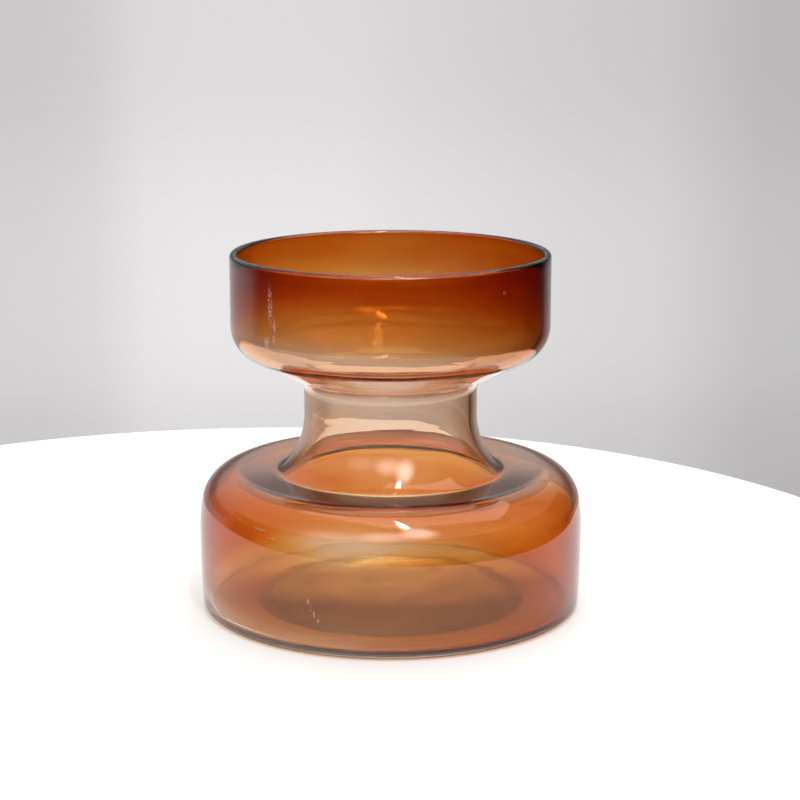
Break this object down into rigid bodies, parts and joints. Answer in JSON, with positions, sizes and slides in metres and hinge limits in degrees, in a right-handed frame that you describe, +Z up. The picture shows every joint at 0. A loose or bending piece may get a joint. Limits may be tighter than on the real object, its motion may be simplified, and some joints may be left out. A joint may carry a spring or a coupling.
{
  "type": "glass vase",
  "caption": "Mould-blown cased-glass vase: cup-shaped mouth, narrow waist and wide drum with a rounded shoulder, amber lining in a clear casing.",
  "frame": {"origin": "centre of the foot, on the surface the vase stands on", "axes": "+Z is up along the axis of revolution; +X and +Y are alike because the vase is round"},
  "size_m": [0.156, 0.156, 0.145],
  "materials": {
    "clear_glass": "clear soda glass with a faint grey-green cast, fire-polished",
    "amber_glass": "transparent amber glass, deepest at the lip and palest at the waist, smooth blown surface"
  },
  "bodies": {
    "root": {"clear_casing": "clear_glass", "amber_lining": "amber_glass"}
  },
  "joints": []
}
